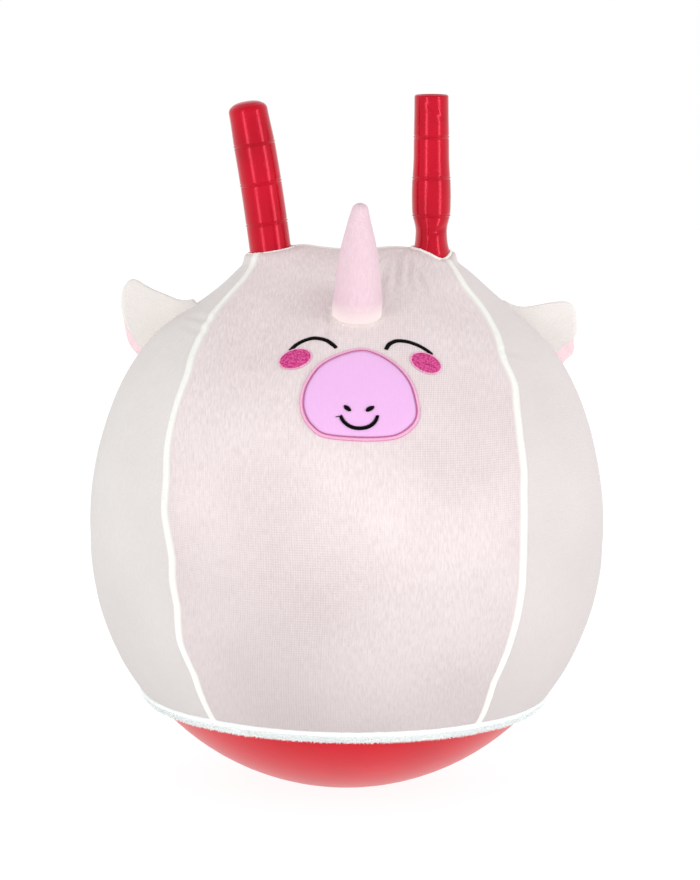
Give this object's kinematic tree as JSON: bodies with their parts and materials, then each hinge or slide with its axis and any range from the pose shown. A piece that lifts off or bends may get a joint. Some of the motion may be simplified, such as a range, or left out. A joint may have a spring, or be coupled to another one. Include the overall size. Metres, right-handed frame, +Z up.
{
  "type": "hopper ball",
  "caption": "Round inflated hopper ball with two ribbed grip handles, in a sewn plush cover with a stitched animal face, stuffed horn and lined ears.",
  "frame": {"origin": "on the floor, at the middle of the flat that the ball rests on, which is the bottom centre of the part", "axes": "+Z up, the face looks along -Y, +X to the viewer's right, so that the two handles stand side by side along X"},
  "size_m": [0.458, 0.4576, 0.6181],
  "materials": {
    "ball_vinyl": "satin",
    "valve_rubber": "matte",
    "plug_plastic": "matte",
    "handle_vinyl": "gloss",
    "plush_cream": "matte",
    "plush_side": "matte",
    "welt_cloth": "matte",
    "hem_cloth": "matte",
    "elastic": "matte",
    "collar_cloth": "matte",
    "patch_pink": "satin",
    "border_thread": "satin",
    "black_thread": "satin",
    "cheek_thread": "satin",
    "horn_plush": "matte",
    "stuffing": "matte",
    "ear_plush": "matte",
    "ear_lining": "matte"
  },
  "bodies": {
    "root": {"ball_shell": "ball_vinyl", "valve_seat": "valve_rubber", "front_panel": "plush_cream", "back_panel": "plush_cream", "left_panel": "plush_side", "right_panel": "plush_side", "front_left_seam": "welt_cloth", "front_right_seam": "welt_cloth", "back_left_seam": "welt_cloth", "back_right_seam": "welt_cloth", "crown_seam": "welt_cloth", "hem_casing": "hem_cloth", "hem_elastic": "elastic", "left_handle_collar": "collar_cloth", "right_handle_collar": "collar_cloth", "muzzle_patch": "patch_pink", "muzzle_border": "border_thread", "left_nostril": "black_thread", "right_nostril": "black_thread", "mouth": "black_thread", "left_eye": "black_thread", "right_eye": "black_thread", "left_cheek": "cheek_thread", "right_cheek": "cheek_thread", "horn_foot": "horn_plush", "left_ear_foot": "ear_plush", "right_ear_foot": "ear_plush"},
    "valve_plug": {"valve_plug": "plug_plastic"},
    "left_handle": {"left_handle": "handle_vinyl"},
    "right_handle": {"right_handle": "handle_vinyl"},
    "horn": {"horn_cover": "horn_plush", "horn_stuffing": "stuffing"},
    "left_ear": {"left_ear": "ear_plush", "left_ear_lining": "ear_lining"},
    "right_ear": {"right_ear": "ear_plush", "right_ear_lining": "ear_lining"}
  },
  "joints": [
    {"name": "left_handle_flex", "type": "hinge", "parent": "root", "child": "left_handle", "pos_m": [-0.0713, 0, 0.479], "axis": [0, 1, 0], "range_deg": [-10, 10], "stiffness_Nm_per_rad": 3},
    {"name": "right_handle_flex", "type": "hinge", "parent": "root", "child": "right_handle", "pos_m": [0.0713, 0, 0.479], "axis": [0, 1, 0], "range_deg": [-10, 10], "stiffness_Nm_per_rad": 3},
    {"name": "horn_flop", "type": "hinge", "parent": "root", "child": "horn", "pos_m": [0, -0.11986, 0.44768], "axis": [1, 0, 0], "range_deg": [-12, 12], "stiffness_Nm_per_rad": 0.6, "deforming": ["horn_foot"]},
    {"name": "left_ear_flop", "type": "hinge", "parent": "root", "child": "left_ear", "pos_m": [-0.16871, 0.01476, 0.41441], "axis": [-0.7461, 0.0653, -0.6626], "range_deg": [-20, 20], "stiffness_Nm_per_rad": 0.2, "deforming": ["left_ear_foot"]},
    {"name": "right_ear_flop", "type": "hinge", "parent": "root", "child": "right_ear", "pos_m": [0.16871, 0.01476, 0.41441], "axis": [0.7461, 0.0653, -0.6626], "range_deg": [-20, 20], "stiffness_Nm_per_rad": 0.2, "deforming": ["right_ear_foot"]},
    {"name": "valve_plug_pull", "type": "slide", "parent": "root", "child": "valve_plug", "axis": [0, 0.5299, -0.848], "range_m": [0, 0.022]}
  ]
}
